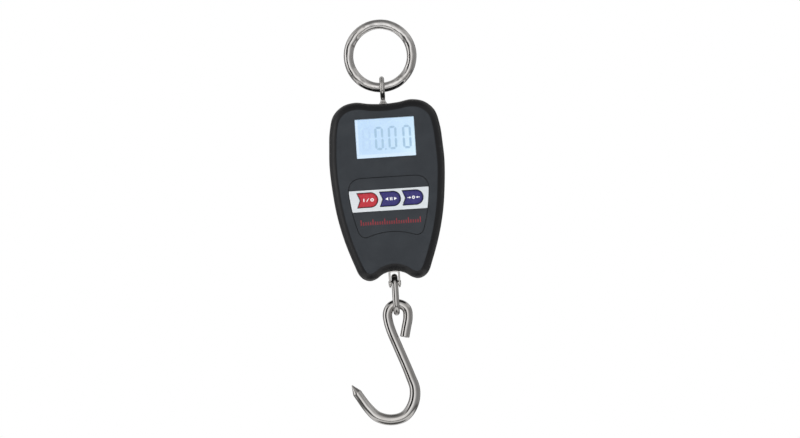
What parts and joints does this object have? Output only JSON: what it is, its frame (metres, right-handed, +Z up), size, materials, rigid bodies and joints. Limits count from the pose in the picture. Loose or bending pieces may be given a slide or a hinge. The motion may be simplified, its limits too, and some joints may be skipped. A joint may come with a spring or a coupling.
{
  "type": "hanging crane scale",
  "caption": "Hand-sized digital crane scale: suspension ring, eye bolt, tapered plastic housing with display and arrow keys, swivelling clevis, link and pointed S-hook.",
  "frame": {"origin": "top of the suspension ring's inside, where the hook or hanger that carries the scale bears", "axes": "+Z up along the load line, display and keys face -Y, +X to the right seen from the front"},
  "size_m": [0.08, 0.0322, 0.2822],
  "materials": {
    "polished_steel": "polished stainless bar",
    "zinc_steel": "zinc plated",
    "housing_plastic": "fine moulded texture, charcoal",
    "dark_plastic": "moulded, black",
    "window": "clear acrylic",
    "display": "pale blue lit display",
    "light_guide": "milky acrylic",
    "contact_rubber": "striped contact rubber",
    "board": "green solder mask",
    "silver_film": "satin silver film",
    "red_key": "smooth moulded",
    "blue_key": "smooth moulded",
    "beam_alloy": "milled",
    "gauge_foil": "foil on film",
    "lead_sleeve": "soft sleeve",
    "cell_sleeve": "shrink sleeve"
  },
  "bodies": {
    "ring": {"suspension_ring": "polished_steel"},
    "weigher": {"eye_bolt": "polished_steel", "eye_lock_nut": "zinc_steel", "front_shell": "housing_plastic", "rear_shell": "housing_plastic", "case_screw_1": "zinc_steel", "case_screw_2": "zinc_steel", "case_screw_3": "zinc_steel", "case_screw_4": "zinc_steel", "display_window": "window", "lcd_panel": "display", "backlight_guide": "light_guide", "backlight_led": "light_guide", "zebra_strip": "contact_rubber", "lcd_frame": "dark_plastic", "circuit_board": "board", "main_chip": "dark_plastic", "adc_chip": "dark_plastic", "smoothing_capacitor": "dark_plastic", "board_screw_1": "zinc_steel", "board_screw_2": "zinc_steel", "board_screw_3": "zinc_steel", "board_screw_4": "zinc_steel", "control_panel": "housing_plastic", "silver_strip": "silver_film", "on_off_switch": "dark_plastic", "mode_switch": "dark_plastic", "tare_switch": "dark_plastic", "load_cell": "beam_alloy", "load_cell_screw_1": "zinc_steel", "load_cell_screw_2": "zinc_steel", "strain_gauge_left": "gauge_foil", "strain_gauge_right": "gauge_foil", "load_cell_lead": "lead_sleeve", "battery_lead_positive": "lead_sleeve", "battery_lead_negative": "lead_sleeve", "battery_bridge_lead": "lead_sleeve", "battery_left": "cell_sleeve", "battery_right": "cell_sleeve", "contact_plate_left": "zinc_steel", "contact_plate_right": "zinc_steel", "contact_spring_left": "zinc_steel", "contact_spring_right": "zinc_steel"},
    "on_off_key": {"on_off_button": "red_key"},
    "mode_key": {"mode_button": "blue_key"},
    "tare_key": {"tare_button": "blue_key"},
    "cover": {"battery_cover": "housing_plastic"},
    "swivel": {"clevis": "polished_steel", "clevis_pin": "polished_steel", "thrust_washer": "zinc_steel", "clevis_nut": "zinc_steel"},
    "link_loop": {"link": "polished_steel"},
    "hook": {"s_hook": "polished_steel"}
  },
  "joints": [
    {"name": "eye_swing", "type": "hinge", "parent": "ring", "child": "weigher", "pos_m": [0, 0, -0.0406], "axis": [1, 0, 0], "range_deg": [-105, 105]},
    {"name": "on_off_press", "type": "slide", "parent": "weigher", "child": "on_off_key", "axis": [0, 1, 0], "range_m": [0, 0.0008], "stiffness_N_per_m": 1500},
    {"name": "mode_press", "type": "slide", "parent": "weigher", "child": "mode_key", "axis": [0, 1, 0], "range_m": [0, 0.0008], "stiffness_N_per_m": 1500},
    {"name": "tare_press", "type": "slide", "parent": "weigher", "child": "tare_key", "axis": [0, 1, 0], "range_m": [0, 0.0008], "stiffness_N_per_m": 1500},
    {"name": "cover_open", "type": "hinge", "parent": "weigher", "child": "cover", "pos_m": [0, 0.0129, -0.0805], "axis": [1, 0, 0], "range_deg": [0, 80]},
    {"name": "clevis_swivel", "type": "hinge", "parent": "weigher", "child": "swivel", "pos_m": [0, 0, -0.169], "axis": [0, 0, 1], "continuous": true},
    {"name": "link_swing", "type": "hinge", "parent": "swivel", "child": "link_loop", "pos_m": [0, 0, -0.177], "axis": [1, 0, 0], "range_deg": [-55, 55]},
    {"name": "hook_swing", "type": "hinge", "parent": "link_loop", "child": "hook", "pos_m": [0, 0, -0.1975], "axis": [0, 1, 0], "range_deg": [-60, 60]}
  ]
}
